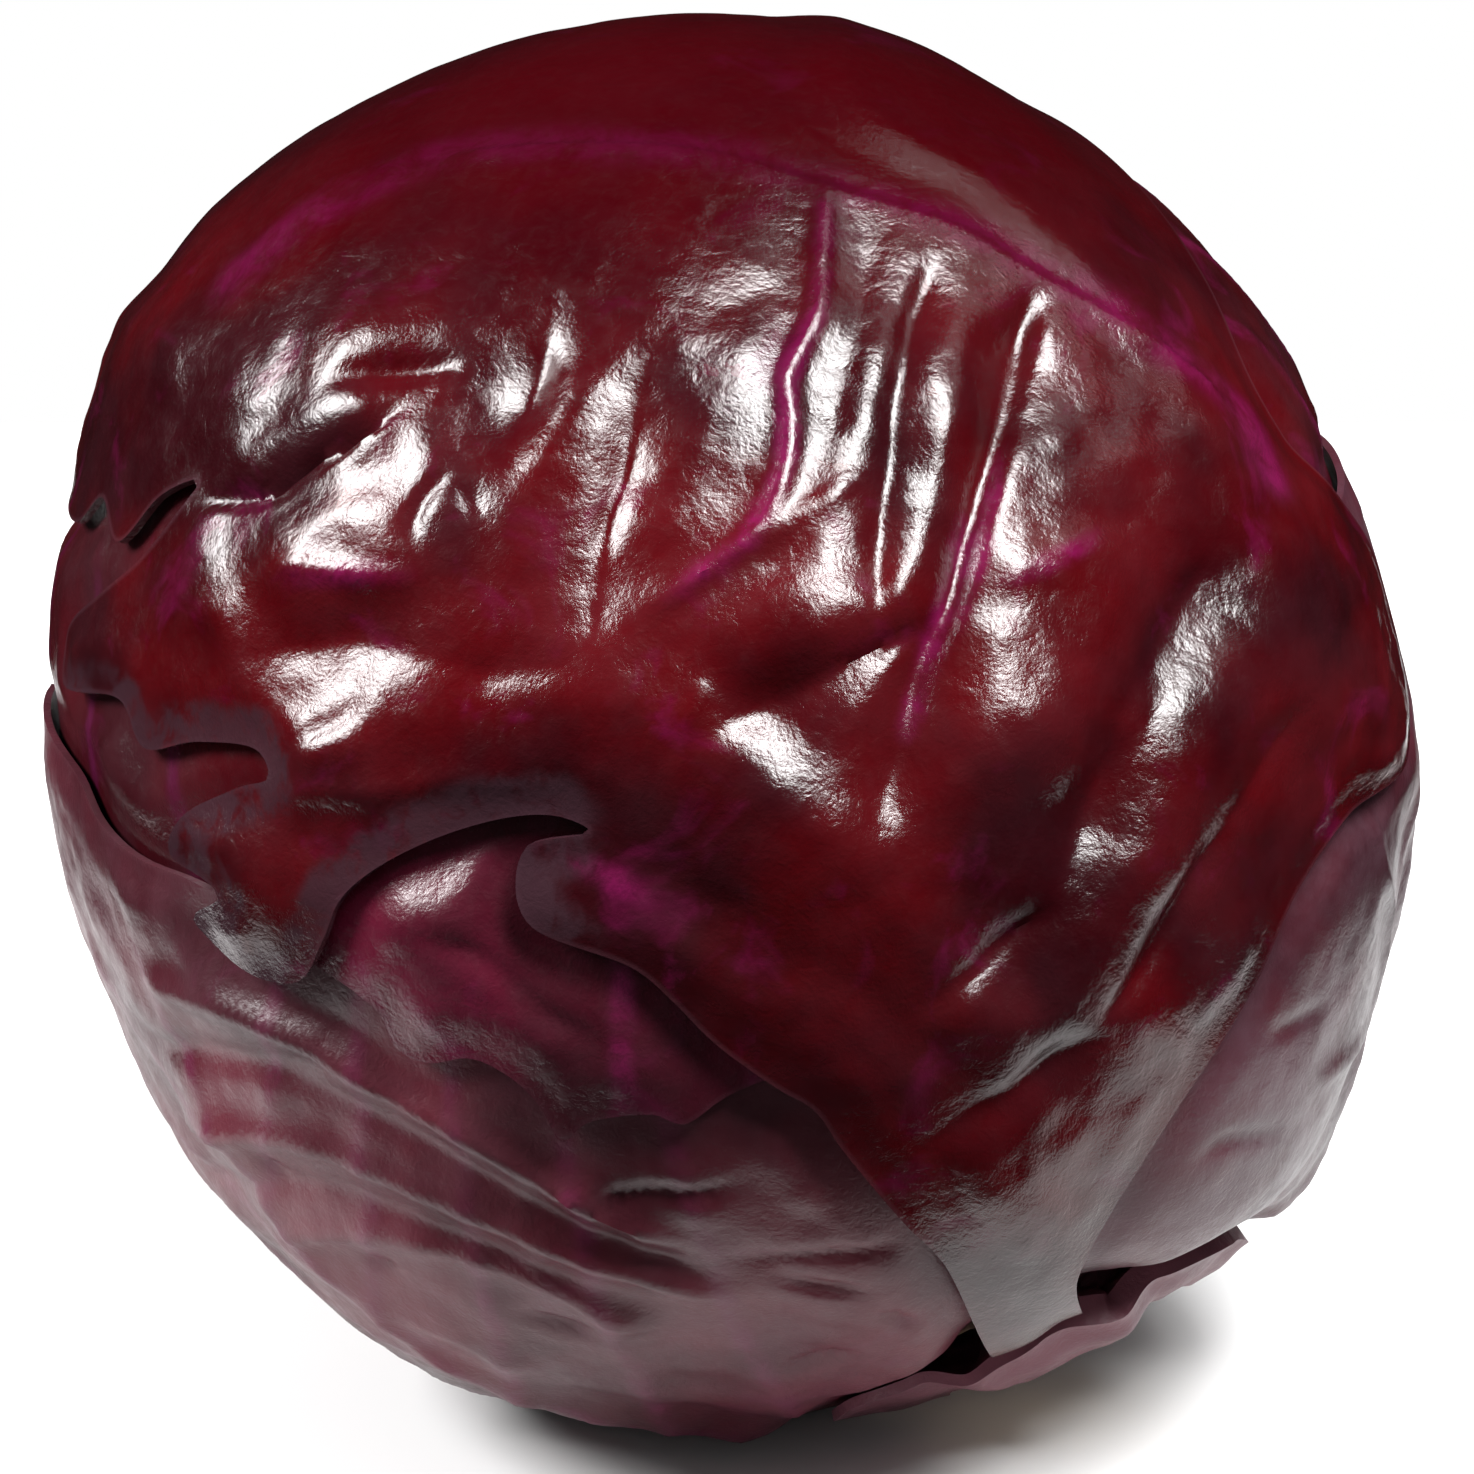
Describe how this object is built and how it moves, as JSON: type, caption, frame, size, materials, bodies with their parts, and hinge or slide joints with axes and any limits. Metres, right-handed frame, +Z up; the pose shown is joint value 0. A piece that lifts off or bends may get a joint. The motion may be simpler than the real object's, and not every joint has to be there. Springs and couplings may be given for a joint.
{
  "type": "red cabbage head",
  "caption": "Red cabbage head: a dense ball of crimson inner leaves on a short cut stem, wrapped in loose, veined, waxy outer leaves that overlap.",
  "frame": {"origin": "on the ground, under the middle of the head's footprint", "axes": "+Z up, -Y towards the pictured side, +X to that view's right, where the cut stem points down"},
  "size_m": [0.1392, 0.1422, 0.1417],
  "materials": {
    "outer_leaf": "waxy, satin, dark crimson with purple veins",
    "inner_leaf": "smooth, satin, dark crimson",
    "pale_leaf": "waxy, pinkish mauve with a grey bloom",
    "bloomed_leaf": "waxy, grey-purple bloom over crimson",
    "leaf_base": "thick, pale pink, matt",
    "cut_stem": "cut face, matt, pale buff"
  },
  "bodies": {
    "root": {"head": "inner_leaf", "stem": "cut_stem", "leaf_left": "inner_leaf", "leaf_back": "outer_leaf", "leaf_right_back": "outer_leaf", "leaf_lower_left": "pale_leaf", "leaf_right": "bloomed_leaf", "leaf_under_lobe": "bloomed_leaf", "leaf_front": "outer_leaf", "leaf_base": "leaf_base"}
  },
  "joints": []
}
